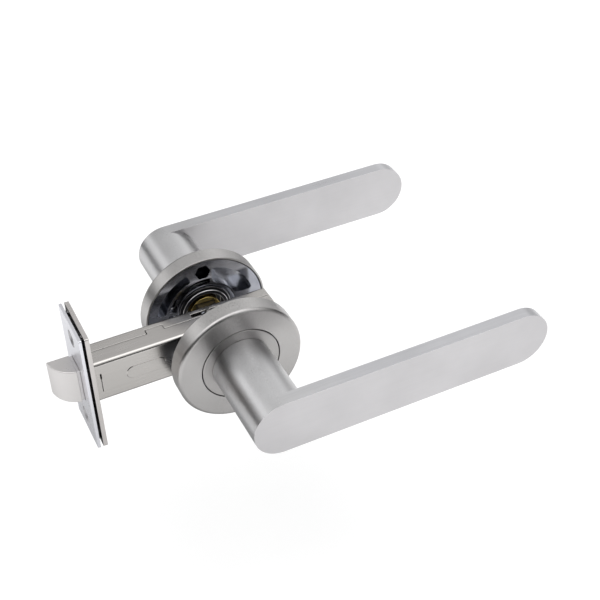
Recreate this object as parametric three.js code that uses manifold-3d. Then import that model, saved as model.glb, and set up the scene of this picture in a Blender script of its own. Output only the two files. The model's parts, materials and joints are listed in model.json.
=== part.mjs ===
// Lever handle lockset: a tubular latch with a sprung bolt, two round roses and two bar levers.
//
// Frame, in millimetres: the origin is the middle of the spindle, in the centre plane of the latch.
// +X points along the levers and away from the door's edge, +Z is up, and Y runs along the
// spindle: the outside trim is at -Y and the inside trim at +Y. Distances along the spindle are
// written as reach, measured outwards from the origin on either side.

import * as THREE from 'three';
import { mergeVertices } from 'three/addons/utils/BufferGeometryUtils.js';
import Module from 'manifold-3d';

const wasm = await Module();
wasm.setup();

// ---------------------------------------------------------------- driving dimensions

const GAP = 0.3; // clearance between neighbouring pieces
const OUTSIDE = -1;
const INSIDE = 1;
const SIDES = { outside: OUTSIDE, inside: INSIDE };

const BACKSET = 60; // spindle to the front of the faceplate
const PLATE = { width: 25, height: 57, screwSpacing: 41, screwRadius: 2.1, countersink: 3.9 };
const FACEPLATE_THICKNESS = 1.2;
const BACKING_THICKNESS = 1.8;
const PLATE_SPACE = 1.1; // between the two plates
const PEG = { radius: 1.2, y: 8, z: 26.3 };

const CASE = { halfWidth: 6.7, halfHeight: 9.8, wall: 1, rear: 23, edgeRadius: 1.5, seam: 1 };
const CASE_TAB = { from: -30, to: -23, reach: 3.5 }; // a tab of the near half in the far half
const CASE_SLOT = { from: -10.5, to: 8.6, inner: 2, outer: 4 }; // for the hub's fingers
const CASE_PAD = { from: -42.5, to: -26, radius: 3, height: 0.25 };
const CASE_SLIT = { x: -52.7, narrow: 0.4, wide: 0.9, low: -5, shoulder: 1.8, high: 4.4 };

const BOLT = { halfWidth: 5.4, halfHeight: 8, tip: -70.4, headEnd: -61.2, rear: -52.5, step: 0.4 };
const BEVEL = { bulge: 2.25, tipLand: 0.4 };
const BOLT_SOCKET_DEPTH = 6;
const TAIL = { radius: 2, end: -33.2, headRadius: 2.9, headLength: 1 };
const WASHER = { radius: 4.2, thickness: 1.5 };
const BOLT_SPRING = { radius: 3.5, wire: 0.35, turns: 6 };
const RETRACTOR_SPRING = { radius: 4.2, wire: 0.4, turns: 5 };
const SPRING_END_SPACE = 0.8; // from a coil's last middle line to what it pushes on

const RETRACTOR = { web: -37.5, webThickness: 1.2, rear: 8.8, halfHeight: 8.4, side: 0.8 };
const RETRACTOR_SLOT = { from: -18, to: 7.4, halfHeight: 7.15 };
const EAR = { low: 7.4, shoulder: 8.4, high: 10.3, thickness: 1.5 };

const HUB = { radius: 6.8, reach: 7.2 };
const FINGER = { radius: 10.5, tilt: Math.PI / 6, tip: 1, inner: 2.3, outer: 3.7, root: 3 };
const SPINDLE = { half: 4, reach: 46 };
const SQUARE_HALF = SPINDLE.half + GAP; // half of every square hole round the spindle

const ROSE = { radius: 26.5, wall: 0.8, back: 14, front: 22, edge: 1.5, hole: 16.8 };
const CASTING = { radius: 25.3, back: 14.3, floor: 19.9, front: 20.9, bore: 12.4 };
const CHAMBER = { narrow: 13.3, wide: 16.5, wideFrom: 79, wideTo: 181 };
const KIDNEY = { inner: 14.2, outer: 21.6, x: 3.8, z: 4.5 };
const ARC_SLOT = { inner: 17.8, outer: 21.8, from: 108, to: 168 };
const HEX_POCKET = { acrossFlats: 6, offset: 20.2, floor: 18.2, holeRadius: 2.2 };

const COLLAR = { radius: 16.45, front: 22.05, chamfer: 0.3, bore: 6.9 };
const SHANK = { radius: 10.3, end: 14.4, recess: 8.6, recessEnd: 19 };
const GROOVE = { radius: 9, from: 14.9, to: 16.1 };
const CIRCLIP = { inner: 9.3, outer: 11.5, from: 15.2, to: 15.8 };
const CAM = { outer: 12.4, from: 16.1, to: 17.1 };
const LUG = { inner: 13.1, outer: 15.8, end: 18.3, angle: 172, halfAngle: 3 };
const SPRING = { radius: 12, wire: 0.4, from: 17.9, to: 19.1, start: 165, finish: 100 };
const SPRING_LEG = { bend: 13.2, tip: 15.3 };
const BUSH = { radius: 6.6, from: 14.7, to: 29.7 };

const NECK = { radius: 12.4, from: 22.35, boreEnd: 30, squareEnd: 47 };
const BAR = { halfWidth: 12.4, length: 105.5, back: 56, front: 61.5, bevel: 0.5 };
const SCREW = { radius: 2.5, reach: 26, low: 11.9, high: 6.9, socket: 1.25, socketDepth: 2.5 };

const FINE = 40; // facets round a large circle
const PLAIN = 20; // facets round a small one
const CORNER = { curveSegments: 2 }; // coarse arcs, for small corner radii
const COIL_STEPS = 9; // wire sections in one turn of a spring

// Places that follow from the ones above.
const FRONT_X = -BACKSET;
const FACEPLATE_BACK_X = FRONT_X + FACEPLATE_THICKNESS;
const BACKING_FRONT_X = FACEPLATE_BACK_X + PLATE_SPACE;
const BACKING_BACK_X = BACKING_FRONT_X + BACKING_THICKNESS;
const CASE_FRONT_X = BACKING_FRONT_X + GAP;
const CASE_INNER_Y = CASE.halfWidth - CASE.wall;
const CASE_INNER_Z = CASE.halfHeight - CASE.wall;
const RETRACTOR_SIDE_Y = CASE_INNER_Y - GAP;
const FINGER_X = -FINGER.radius * Math.sin(FINGER.tilt);
const FINGER_Z = FINGER.radius * Math.cos(FINGER.tilt);

// ---------------------------------------------------------------- shape helpers

const X_AXIS = new THREE.Vector3(1, 0, 0);
const Y_AXIS = new THREE.Vector3(0, 1, 0);
const Z_AXIS = new THREE.Vector3(0, 0, 1);

const radians = THREE.MathUtils.degToRad;

function sorted(a, b) {
  return [Math.min(a, b), Math.max(a, b)];
}

// A box between two values on each axis, given in either order.
function box(xs, ys, zs) {
  const spans = [sorted(...xs), sorted(...ys), sorted(...zs)];
  const [width, depth, height] = spans.map(([low, high]) => high - low);
  const [x, y, z] = spans.map(([low, high]) => (low + high) / 2);
  return new THREE.BoxGeometry(width, depth, height).translate(x, y, z);
}

// An outline drawn in YZ, extruded along X between two places.
function alongX(outline, start, end, options = {}) {
  const [low, high] = sorted(start, end);
  const settings = { depth: high - low, bevelEnabled: false, curveSegments: 4, ...options };
  const turn = new THREE.Matrix4().makeBasis(Y_AXIS, Z_AXIS, X_AXIS);
  return new THREE.ExtrudeGeometry(outline, settings).applyMatrix4(turn).translate(low, 0, 0);
}

// An outline drawn in XZ, extruded along Y between two places.
function alongY(outline, start, end, options = {}) {
  const [low, high] = sorted(start, end);
  const settings = { depth: high - low, bevelEnabled: false, curveSegments: 4, ...options };
  const turn = new THREE.Matrix4().makeBasis(X_AXIS, Z_AXIS, Y_AXIS.clone().negate());
  return new THREE.ExtrudeGeometry(outline, settings).applyMatrix4(turn).translate(0, high, 0);
}

// A closed profile of [radius, place] points, turned about the Y axis.
function turned(profile, segments = FINE) {
  const points = profile.map(([radius, place]) => new THREE.Vector2(radius, place));
  if (THREE.ShapeUtils.area(points) < 0) {
    points.reverse();
  }
  points.push(points[0]);
  return new THREE.LatheGeometry(points, segments);
}

// The same, with places given as reach on one side of the lockset.
function turnedAt(side, profile, segments = FINE) {
  return turned(profile.map(([radius, reach]) => [radius, side * reach]), segments);
}

// A ring with a square section about the Y axis.
function ringAt(side, inner, outer, from, to, segments = FINE) {
  return turnedAt(side, [[inner, from], [outer, from], [outer, to], [inner, to]], segments);
}

// A round bar along Y.
function roundY(radius, start, end, segments = PLAIN) {
  const [low, high] = sorted(start, end);
  const bar = new THREE.CylinderGeometry(radius, radius, high - low, segments);
  return bar.translate(0, (low + high) / 2, 0);
}

// A round bar or cone along X, with its own radius at each end.
function roundX(lowRadius, highRadius, low, high, segments = PLAIN) {
  const bar = new THREE.CylinderGeometry(highRadius, lowRadius, high - low, segments);
  return bar.rotateZ(-Math.PI / 2).translate((low + high) / 2, 0, 0);
}

// A round bar along Z.
function roundZ(radius, low, high, segments = PLAIN) {
  const bar = new THREE.CylinderGeometry(radius, radius, high - low, segments);
  return bar.rotateX(Math.PI / 2).translate(0, 0, (low + high) / 2);
}

// A rectangle with rounded corners about the origin.
function rectangle(halfWidth, halfHeight, corner) {
  const outline = new THREE.Shape();
  const x = halfWidth - corner;
  const y = halfHeight - corner;
  outline.absarc(x, y, corner, 0, Math.PI / 2);
  outline.absarc(-x, y, corner, Math.PI / 2, Math.PI);
  outline.absarc(-x, -y, corner, Math.PI, 1.5 * Math.PI);
  outline.absarc(x, -y, corner, 1.5 * Math.PI, 2 * Math.PI);
  return outline;
}

// Part of a flat ring, between two angles in degrees.
function sector(inner, outer, from, to, innerFrom = from, innerTo = to) {
  const outline = new THREE.Shape();
  outline.absarc(0, 0, outer, radians(from), radians(to), false);
  outline.absarc(0, 0, inner, radians(innerTo), radians(innerFrom), true);
  outline.closePath();
  return outline;
}

function polygon(points) {
  return new THREE.Shape(points.map(([x, y]) => new THREE.Vector2(x, y)));
}

function hexagon(acrossFlats, x, y) {
  const corner = acrossFlats / Math.sqrt(3);
  const angles = [0, 1, 2, 3, 4, 5].map((step) => (step * Math.PI) / 3);
  return polygon(angles.map((a) => [x + corner * Math.cos(a), y + corner * Math.sin(a)]));
}

// A round wire along a curve, with closed ends.
function wire(curve, radius, steps) {
  const section = new THREE.Shape();
  section.absarc(0, 0, radius, 0, 2 * Math.PI);
  const settings = { steps, extrudePath: curve, curveSegments: 3, bevelEnabled: false };
  return new THREE.ExtrudeGeometry(section, settings);
}

// A helix about the X axis.
class Helix extends THREE.Curve {
  constructor(radius, turns, from, to) {
    super();
    Object.assign(this, { radius, turns, from, to });
  }

  getPoint(t, target = new THREE.Vector3()) {
    const angle = t * this.turns * 2 * Math.PI;
    const place = THREE.MathUtils.lerp(this.from, this.to, t);
    return target.set(place, this.radius * Math.cos(angle), this.radius * Math.sin(angle));
  }
}

// ---------------------------------------------------------------- joining and cutting

function weld(geometry) {
  const bare = new THREE.BufferGeometry();
  bare.setAttribute('position', geometry.getAttribute('position'));
  bare.setIndex(geometry.getIndex());
  const welded = mergeVertices(bare, 1e-4);
  const index = Array.from(welded.getIndex().array);
  const kept = [];
  for (let i = 0; i < index.length; i += 3) {
    const [a, b, c] = index.slice(i, i + 3);
    if (a !== b && b !== c && c !== a) {
      kept.push(a, b, c);
    }
  }
  welded.setIndex(kept);
  return welded;
}

function toSolid(geometry) {
  const welded = weld(geometry);
  return new wasm.Manifold(new wasm.Mesh({
    numProp: 3,
    vertProperties: new Float32Array(welded.getAttribute('position').array),
    triVerts: new Uint32Array(welded.getIndex().array),
  }));
}

function toGeometry(solid) {
  const mesh = solid.getMesh();
  const geometry = new THREE.BufferGeometry();
  geometry.setAttribute('position', new THREE.BufferAttribute(mesh.vertProperties, 3));
  geometry.setIndex(new THREE.BufferAttribute(mesh.triVerts, 1));
  return geometry;
}

// Joins the first list of closed geometries, then cuts the second list away from them.
function shape(joined, cuts = []) {
  let solid = toSolid(joined[0]);
  for (const part of joined.slice(1)) {
    solid = solid.add(toSolid(part));
  }
  for (const part of cuts) {
    solid = solid.subtract(toSolid(part));
  }
  return toGeometry(solid);
}

// ---------------------------------------------------------------- materials and pieces

const FINISHES = {
  satinSteel: { color: 0xb9b7b3, roughness: 0.36, metalness: 1 },
  latchSteel: { color: 0xb0b1b3, roughness: 0.28, metalness: 1 },
  boltSteel: { color: 0xb4b1ac, roughness: 0.32, metalness: 1 },
  zincCasting: { color: 0x6d7279, roughness: 0.45, metalness: 1 },
  springSteel: { color: 0x8b8d90, roughness: 0.3, metalness: 1 },
  darkSteel: { color: 0x3a3b3e, roughness: 0.5, metalness: 1 },
  yellowZinc: { color: 0xb9923f, roughness: 0.35, metalness: 1 },
  nylon: { color: 0x232325, roughness: 0.55, metalness: 0 },
};

const lockset = new THREE.Group();

function addPiece(name, finish, geometry) {
  geometry.computeVertexNormals();
  const mesh = new THREE.Mesh(geometry, new THREE.MeshStandardMaterial(FINISHES[finish]));
  mesh.name = name;
  lockset.add(mesh);
}

// ---------------------------------------------------------------- latch: plates and case

function screwCuts(lowRadius, highRadius, from, to) {
  const z = PLATE.screwSpacing / 2;
  return [-z, z].map((place) => roundX(lowRadius, highRadius, from, to).translate(0, 0, place));
}

function frontFaceplate() {
  const sheet = rectangle(PLATE.width / 2, PLATE.height / 2, 0.4);
  const opening = rectangle(BOLT.halfWidth + GAP, BOLT.halfHeight + GAP, 0.8);
  return shape(
    [alongX(sheet, FRONT_X, FACEPLATE_BACK_X, CORNER)],
    [
      alongX(opening, FRONT_X - 1, FACEPLATE_BACK_X + 1, CORNER),
      ...screwCuts(PLATE.countersink, PLATE.screwRadius, FRONT_X, FACEPLATE_BACK_X),
      ...screwCuts(PLATE.screwRadius, PLATE.screwRadius, FRONT_X - 1, FACEPLATE_BACK_X + 1),
    ],
  );
}

function backingPlate() {
  const sheet = rectangle(PLATE.width / 2, PLATE.height / 2, 0.4);
  const opening = rectangle(CASE.halfWidth + GAP, CASE.halfHeight + GAP, CASE.edgeRadius);
  const pegFront = FACEPLATE_BACK_X + GAP;
  const peg = (y, z) => roundX(PEG.radius, PEG.radius, pegFront, BACKING_FRONT_X + 1, 12)
    .translate(0, y, z);
  return shape(
    [
      alongX(sheet, BACKING_FRONT_X, BACKING_BACK_X, CORNER),
      peg(PEG.y, PEG.z), peg(-PEG.y, PEG.z), peg(PEG.y, -PEG.z), peg(-PEG.y, -PEG.z),
    ],
    [
      alongX(opening, BACKING_FRONT_X - 1, BACKING_BACK_X + 1, CORNER),
      ...screwCuts(PLATE.screwRadius, PLATE.screwRadius, BACKING_FRONT_X - 1, BACKING_BACK_X + 1),
    ],
  );
}

// The channel section of one half of the case, open towards the other half.
function channelOutline(side, seamY) {
  const { halfWidth, halfHeight, edgeRadius } = CASE;
  const corner = halfHeight - edgeRadius;
  const web = halfWidth - edgeRadius;
  const outline = new THREE.Shape();
  outline.moveTo(-seamY, -halfHeight);
  outline.absarc(web, -corner, edgeRadius, -Math.PI / 2, 0);
  outline.absarc(web, corner, edgeRadius, 0, Math.PI / 2);
  outline.lineTo(-seamY, halfHeight);
  outline.lineTo(-seamY, CASE_INNER_Z);
  outline.lineTo(CASE_INNER_Y, CASE_INNER_Z);
  outline.lineTo(CASE_INNER_Y, -CASE_INNER_Z);
  outline.lineTo(-seamY, -CASE_INNER_Z);
  outline.closePath();
  const points = outline.extractPoints(3).shape;
  return polygon(points.map((point) => [side * point.x, point.y]));
}

function caseSlots(side) {
  const xs = [CASE_SLOT.from, CASE_SLOT.to];
  const ys = [side * CASE_SLOT.inner, side * CASE_SLOT.outer];
  return [1, -1].map((up) => box(xs, ys, [up * (CASE_INNER_Z - 1), up * (CASE.halfHeight + 1)]));
}

function casePad(side) {
  const pad = new THREE.Shape();
  pad.absarc(CASE_PAD.to - CASE_PAD.radius, 0, CASE_PAD.radius, -Math.PI / 2, Math.PI / 2);
  pad.absarc(CASE_PAD.from + CASE_PAD.radius, 0, CASE_PAD.radius, Math.PI / 2, 1.5 * Math.PI);
  return alongY(pad, side * (CASE_INNER_Y + 0.5), side * (CASE.halfWidth + CASE_PAD.height));
}

function tabBoxes(reach, margin) {
  const xs = [CASE_TAB.from - margin, CASE_TAB.to + margin];
  return [1, -1].map((up) => box(xs, [0, reach], [up * CASE_INNER_Z, up * CASE.halfHeight]));
}

function hubHole(side) {
  return roundY(HUB.radius + GAP, side * (CASE_INNER_Y - 1), side * (CASE.halfWidth + 1), 48);
}

// One part of the slit behind the plates, which is wider above its shoulder.
function slitCut(width, low, high) {
  const xs = [CASE_SLIT.x - width / 2, CASE_SLIT.x + width / 2];
  return box(xs, [-CASE.halfWidth - 1, -CASE_INNER_Y + 1], [low, high]);
}

function caseNearHalf() {
  const channel = channelOutline(OUTSIDE, CASE.seam - GAP / 2);
  const rearWall = box(
    [CASE.rear - CASE.wall, CASE.rear],
    [-CASE_INNER_Y - 0.5, RETRACTOR_SIDE_Y],
    [-CASE_INNER_Z + GAP, CASE_INNER_Z - GAP],
  );
  return shape(
    [
      alongX(channel, CASE_FRONT_X, CASE.rear),
      ...tabBoxes(CASE_TAB.reach - GAP / 2, 0),
      rearWall,
      casePad(OUTSIDE),
    ],
    [
      ...caseSlots(OUTSIDE),
      hubHole(OUTSIDE),
      slitCut(CASE_SLIT.narrow, CASE_SLIT.low, CASE_SLIT.high),
      slitCut(CASE_SLIT.wide, CASE_SLIT.shoulder, CASE_SLIT.high),
    ],
  );
}

function caseFarHalf() {
  const channel = channelOutline(INSIDE, -CASE.seam - GAP / 2);
  return shape(
    [alongX(channel, CASE_FRONT_X, CASE.rear), casePad(INSIDE)],
    [...tabBoxes(CASE_TAB.reach + GAP / 2, GAP), ...caseSlots(INSIDE), hubHole(INSIDE)],
  );
}

// ---------------------------------------------------------------- latch: bolt and retractor

function latchBolt() {
  const { halfWidth, halfHeight, tip, headEnd, rear, step } = BOLT;
  const start = new THREE.Vector2(headEnd, -halfWidth);
  const end = new THREE.Vector2(tip, halfWidth - BEVEL.tipLand);
  const chord = end.clone().sub(start).normalize();
  const outwards = new THREE.Vector2(-chord.y, chord.x);
  const middle = start.clone().add(end).multiplyScalar(0.5);
  const pull = middle.addScaledVector(outwards, 2 * BEVEL.bulge);
  const outline = new THREE.Shape();
  outline.moveTo(headEnd, halfWidth);
  outline.lineTo(tip, halfWidth);
  outline.lineTo(end.x, end.y);
  outline.quadraticCurveTo(pull.x, pull.y, start.x, start.y);
  outline.closePath();
  const settings = { depth: 2 * halfHeight, bevelEnabled: false, curveSegments: 10 };
  const head = new THREE.ExtrudeGeometry(outline, settings).translate(0, 0, -halfHeight);
  const y = halfWidth - step;
  const z = halfHeight - step;
  const socket = TAIL.radius + GAP;
  return shape(
    [head, box([headEnd - 1, rear], [-y, y], [-z, z])],
    [roundX(socket, socket, rear - BOLT_SOCKET_DEPTH, rear + 1)],
  );
}

function boltTail() {
  const start = BOLT.rear - BOLT_SOCKET_DEPTH + GAP;
  return shape([
    roundX(TAIL.radius, TAIL.radius, start, TAIL.end),
    roundX(TAIL.headRadius, TAIL.headRadius, TAIL.end - TAIL.headLength, TAIL.end),
  ]);
}

function tailWasher() {
  const start = RETRACTOR.web + RETRACTOR.webThickness + GAP;
  const end = start + WASHER.thickness;
  const hole = TAIL.radius + GAP;
  return shape(
    [roundX(WASHER.radius, WASHER.radius, start, end)],
    [roundX(hole, hole, start - 1, end + 1)],
  );
}

// A coil spring about the X axis.
function coil({ radius, wire: wireRadius, turns }, from, to) {
  return weld(wire(new Helix(radius, turns, from, to), wireRadius, turns * COIL_STEPS));
}

function boltSpring() {
  const from = BOLT.rear + SPRING_END_SPACE;
  const to = RETRACTOR.web - SPRING_END_SPACE;
  return coil(BOLT_SPRING, from, to);
}

function retractorSpring() {
  const from = RETRACTOR.rear + SPRING_END_SPACE;
  const to = CASE.rear - CASE.wall - SPRING_END_SPACE;
  return coil(RETRACTOR_SPRING, from, to);
}

// One bent-in ear, which a finger of the hub pushes; it stands up through the case's slot.
function ear(side, up) {
  const start = FINGER_X + FINGER.tip + GAP;
  const xs = [start, start + EAR.thickness];
  return [
    box(xs, [side * FINGER.inner, side * RETRACTOR_SIDE_Y], [up * EAR.low, up * EAR.shoulder]),
    box(xs, [side * FINGER.inner, side * FINGER.outer], [up * (EAR.shoulder - 0.5), up * EAR.high]),
  ];
}

function retractor() {
  const { web, webThickness, rear, halfHeight, side } = RETRACTOR;
  const ys = [-RETRACTOR_SIDE_Y, RETRACTOR_SIDE_Y];
  const zs = [-halfHeight, halfHeight];
  const cheek = (sign) => box(
    [web, rear],
    [sign * (RETRACTOR_SIDE_Y - side), sign * RETRACTOR_SIDE_Y],
    zs,
  );
  const hole = TAIL.radius + GAP;
  const slotZ = [-RETRACTOR_SLOT.halfHeight, RETRACTOR_SLOT.halfHeight];
  const slotY = [-RETRACTOR_SIDE_Y - 1, RETRACTOR_SIDE_Y + 1];
  return shape(
    [
      box([web, web + webThickness], ys, zs),
      box([rear - webThickness, rear], ys, zs),
      cheek(OUTSIDE),
      cheek(INSIDE),
      ...[OUTSIDE, INSIDE].flatMap((sign) => [...ear(sign, 1), ...ear(sign, -1)]),
    ],
    [
      box([RETRACTOR_SLOT.from, RETRACTOR_SLOT.to], slotY, slotZ),
      roundX(hole, hole, web - 1, web + webThickness + 1),
    ],
  );
}

// ---------------------------------------------------------------- hub and spindle

// A finger's leading side is upright at rest, so that it meets the ear only with its round tip.
function finger(side, up) {
  const outline = new THREE.Shape();
  outline.moveTo(FINGER_X - FINGER.tip, FINGER.root);
  outline.lineTo(FINGER_X + FINGER.tip, FINGER.root);
  outline.absarc(FINGER_X, FINGER_Z, FINGER.tip, 0, Math.PI);
  outline.closePath();
  const points = outline.extractPoints(6).shape;
  const placed = polygon(points.map((point) => [point.x, up * point.y]));
  return alongY(placed, side * FINGER.inner, side * FINGER.outer);
}

function squareHole(start, end) {
  return box([-SQUARE_HALF, SQUARE_HALF], [start, end], [-SQUARE_HALF, SQUARE_HALF]);
}

function latchHub() {
  return shape(
    [
      roundY(HUB.radius, -HUB.reach, HUB.reach, 48),
      finger(OUTSIDE, 1), finger(OUTSIDE, -1), finger(INSIDE, 1), finger(INSIDE, -1),
    ],
    [squareHole(-HUB.reach - 1, HUB.reach + 1)],
  );
}

function spindle() {
  const bar = rectangle(SPINDLE.half, SPINDLE.half, 0.5);
  return shape([alongY(bar, -SPINDLE.reach, SPINDLE.reach, { curveSegments: 2 })]);
}

// ---------------------------------------------------------------- trims

function roseCover(side) {
  const { radius, wall, back, front, edge, hole } = ROSE;
  const inner = radius - wall;
  const profile = [[inner, back], [radius, back]];
  const steps = 3;
  for (let step = 0; step <= steps; step += 1) {
    const angle = (step / steps) * (Math.PI / 2);
    const r = radius - edge + edge * Math.cos(angle);
    profile.push([r, front - edge + edge * Math.sin(angle)]);
  }
  profile.push([hole + 0.3, front], [hole, front - 0.3], [hole, front - wall]);
  profile.push([inner - edge + wall, front - wall], [inner, front - edge]);
  return weld(turnedAt(side, profile));
}

// The pockets repeat half a turn round, so each outline is cut twice.
function castingPockets(side) {
  const { inner, outer, x, z } = KIDNEY;
  const degrees = THREE.MathUtils.radToDeg;
  const outlines = [
    sector(
      inner, outer,
      degrees(Math.asin(z / outer)), degrees(Math.acos(x / outer)),
      degrees(Math.asin(z / inner)), degrees(Math.acos(x / inner)),
    ),
    sector(ARC_SLOT.inner, ARC_SLOT.outer, ARC_SLOT.from, ARC_SLOT.to),
    sector(CASTING.bore - 1, CHAMBER.wide, CHAMBER.wideFrom, CHAMBER.wideTo),
  ];
  const first = outlines.map((o) => alongY(o, side * (CASTING.back - 1), side * CASTING.floor));
  return [...first, ...first.map((pocket) => pocket.clone().rotateY(Math.PI))];
}

function mountingPlate(side) {
  const { radius, back, floor, front, bore } = CASTING;
  const cuts = [
    roundY(CHAMBER.narrow, side * (back - 1), side * floor, 48),
    ...castingPockets(side),
  ];
  for (const up of [1, -1]) {
    const hexagonal = hexagon(HEX_POCKET.acrossFlats, 0, up * HEX_POCKET.offset);
    cuts.push(alongY(hexagonal, side * (back - 1), side * HEX_POCKET.floor));
    const hole = roundY(HEX_POCKET.holeRadius, side * (back - 1), side * (front + 1), 24);
    cuts.push(hole.translate(0, 0, up * HEX_POCKET.offset));
  }
  return shape([ringAt(side, bore, radius, back, front)], cuts);
}

function bearingBush(side) {
  return weld(ringAt(side, SHANK.radius + GAP, CASTING.bore - GAP, CASTING.floor, CASTING.front));
}

// The torsion spring: a short coil with a leg standing outwards at each end.
function returnSpring(side) {
  const start = radians(SPRING.start);
  const sweep = 2 * Math.PI + start - radians(SPRING.finish);
  const steps = 24;
  const points = [];
  const place = (radius, angle, reach) => {
    points.push(new THREE.Vector3(radius * Math.cos(angle), side * reach, radius * Math.sin(angle)));
  };
  place(SPRING_LEG.tip, start, SPRING.from);
  place(SPRING_LEG.bend, start, SPRING.from);
  for (let step = 1; step < steps; step += 1) {
    const t = step / steps;
    place(SPRING.radius, start - t * sweep, THREE.MathUtils.lerp(SPRING.from, SPRING.to, t));
  }
  place(SPRING_LEG.bend, start - sweep, SPRING.to);
  place(SPRING_LEG.tip, start - sweep, SPRING.to);
  return weld(wire(new THREE.CatmullRomCurve3(points), SPRING.wire, 44));
}

// ---------------------------------------------------------------- levers

function leverBar(side) {
  const outline = new THREE.Shape();
  outline.absarc(BAR.length, 0, BAR.halfWidth, -Math.PI / 2, Math.PI / 2);
  outline.absarc(0, 0, BAR.halfWidth, Math.PI / 2, 1.5 * Math.PI);
  const bevel = {
    bevelEnabled: true,
    bevelSize: BAR.bevel,
    bevelThickness: BAR.bevel,
    bevelOffset: -BAR.bevel,
    bevelSegments: 1,
    curveSegments: 14,
  };
  const back = side * (BAR.back + BAR.bevel);
  return weld(alongY(outline, back, side * (BAR.front - BAR.bevel), bevel));
}

function leverNeck(side) {
  const screwHole = roundZ(SCREW.radius + GAP, -NECK.radius - 1, -COLLAR.bore + 1);
  return shape(
    [roundY(NECK.radius, side * NECK.from, side * (BAR.back - GAP), FINE)],
    [
      roundY(COLLAR.bore, side * (NECK.from - 1), side * NECK.boreEnd, PLAIN),
      squareHole(side * (NECK.boreEnd - 1), side * NECK.squareEnd),
      screwHole.translate(0, side * SCREW.reach, 0),
    ],
  );
}

// The disc that fills the rose's hole, and the shank that turns in the mounting plate behind it.
function leverCollar(side) {
  const back = ROSE.front - ROSE.wall;
  const { radius, front, chamfer, bore } = COLLAR;
  return weld(turnedAt(side, [
    [bore, front], [radius - chamfer, front], [radius, front - chamfer], [radius, back],
    [SHANK.radius, back], [SHANK.radius, GROOVE.to], [GROOVE.radius, GROOVE.to],
    [GROOVE.radius, GROOVE.from], [SHANK.radius, GROOVE.from], [SHANK.radius, SHANK.end],
    [SHANK.recess, SHANK.end], [SHANK.recess, SHANK.recessEnd], [bore, SHANK.recessEnd],
  ]));
}

function springCam(side) {
  const { inner, outer, end, angle, halfAngle } = LUG;
  const arm = sector(CAM.outer - 0.6, outer, angle - halfAngle, angle + halfAngle);
  const hook = sector(inner, outer, angle - halfAngle, angle + halfAngle);
  return shape([
    ringAt(side, SHANK.radius + GAP, CAM.outer, CAM.from, CAM.to),
    alongY(arm, side * CAM.from, side * CAM.to, { curveSegments: 3 }),
    alongY(hook, side * CAM.from, side * end, { curveSegments: 3 }),
  ]);
}

// An open ring that springs into the shank's groove, with a gap at the bottom.
function circlip(side) {
  const open = sector(CIRCLIP.inner, CIRCLIP.outer, -75, 255);
  return weld(alongY(open, side * CIRCLIP.from, side * CIRCLIP.to, { curveSegments: 18 }));
}

function spindleBush(side) {
  return shape(
    [roundY(BUSH.radius, side * BUSH.from, side * BUSH.to, PLAIN)],
    [squareHole(side * (BUSH.from - 1), side * (BUSH.to + 1))],
  );
}

function grubScrew(side) {
  const socket = alongZHexagon(SCREW.socket * 2, -SCREW.low - 1, -SCREW.low + SCREW.socketDepth);
  const screw = shape([roundZ(SCREW.radius, -SCREW.low, -SCREW.high, 24)], [socket]);
  return screw.translate(0, side * SCREW.reach, 0);
}

function alongZHexagon(acrossFlats, low, high) {
  const settings = { depth: high - low, bevelEnabled: false };
  return new THREE.ExtrudeGeometry(hexagon(acrossFlats, 0, 0), settings).translate(0, 0, low);
}

// ---------------------------------------------------------------- the assembly

addPiece('front_faceplate', 'satinSteel', frontFaceplate());
addPiece('backing_plate', 'latchSteel', backingPlate());
addPiece('case_near_half', 'latchSteel', caseNearHalf());
addPiece('case_far_half', 'latchSteel', caseFarHalf());
addPiece('retractor_spring', 'springSteel', retractorSpring());
addPiece('retractor', 'latchSteel', retractor());
addPiece('bolt_spring', 'springSteel', boltSpring());
addPiece('latch_bolt', 'boltSteel', latchBolt());
addPiece('bolt_tail', 'springSteel', boltTail());
addPiece('tail_washer', 'springSteel', tailWasher());
addPiece('latch_hub', 'zincCasting', latchHub());
addPiece('spindle', 'darkSteel', spindle());

for (const [name, side] of Object.entries(SIDES)) {
  addPiece(`${name}_rose_cover`, 'satinSteel', roseCover(side));
  addPiece(`${name}_mounting_plate`, 'zincCasting', mountingPlate(side));
  addPiece(`${name}_bearing_bush`, 'nylon', bearingBush(side));
  addPiece(`${name}_return_spring`, 'springSteel', returnSpring(side));
  addPiece(`${name}_lever_bar`, 'satinSteel', leverBar(side));
  addPiece(`${name}_lever_neck`, 'satinSteel', leverNeck(side));
  addPiece(`${name}_lever_collar`, 'satinSteel', leverCollar(side));
  addPiece(`${name}_spring_cam`, 'zincCasting', springCam(side));
  addPiece(`${name}_circlip`, 'springSteel', circlip(side));
  addPiece(`${name}_spindle_bush`, 'yellowZinc', spindleBush(side));
  addPiece(`${name}_grub_screw`, 'darkSteel', grubScrew(side));
}

export default lockset;
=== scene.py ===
"""Looks for the lever handle lockset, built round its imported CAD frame.

The frame's axes: +X along the levers, +Y along the spindle to the inside trim, +Z up. Meshes are
drawn in millimetres and made in metres. Distances along the spindle are written as reach,
measured outwards from the origin, and side is -1 for the outside trim and 1 for the inside one.
"""

import json
import math

import bmesh
import bpy
from mathutils import Matrix, Vector


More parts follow.
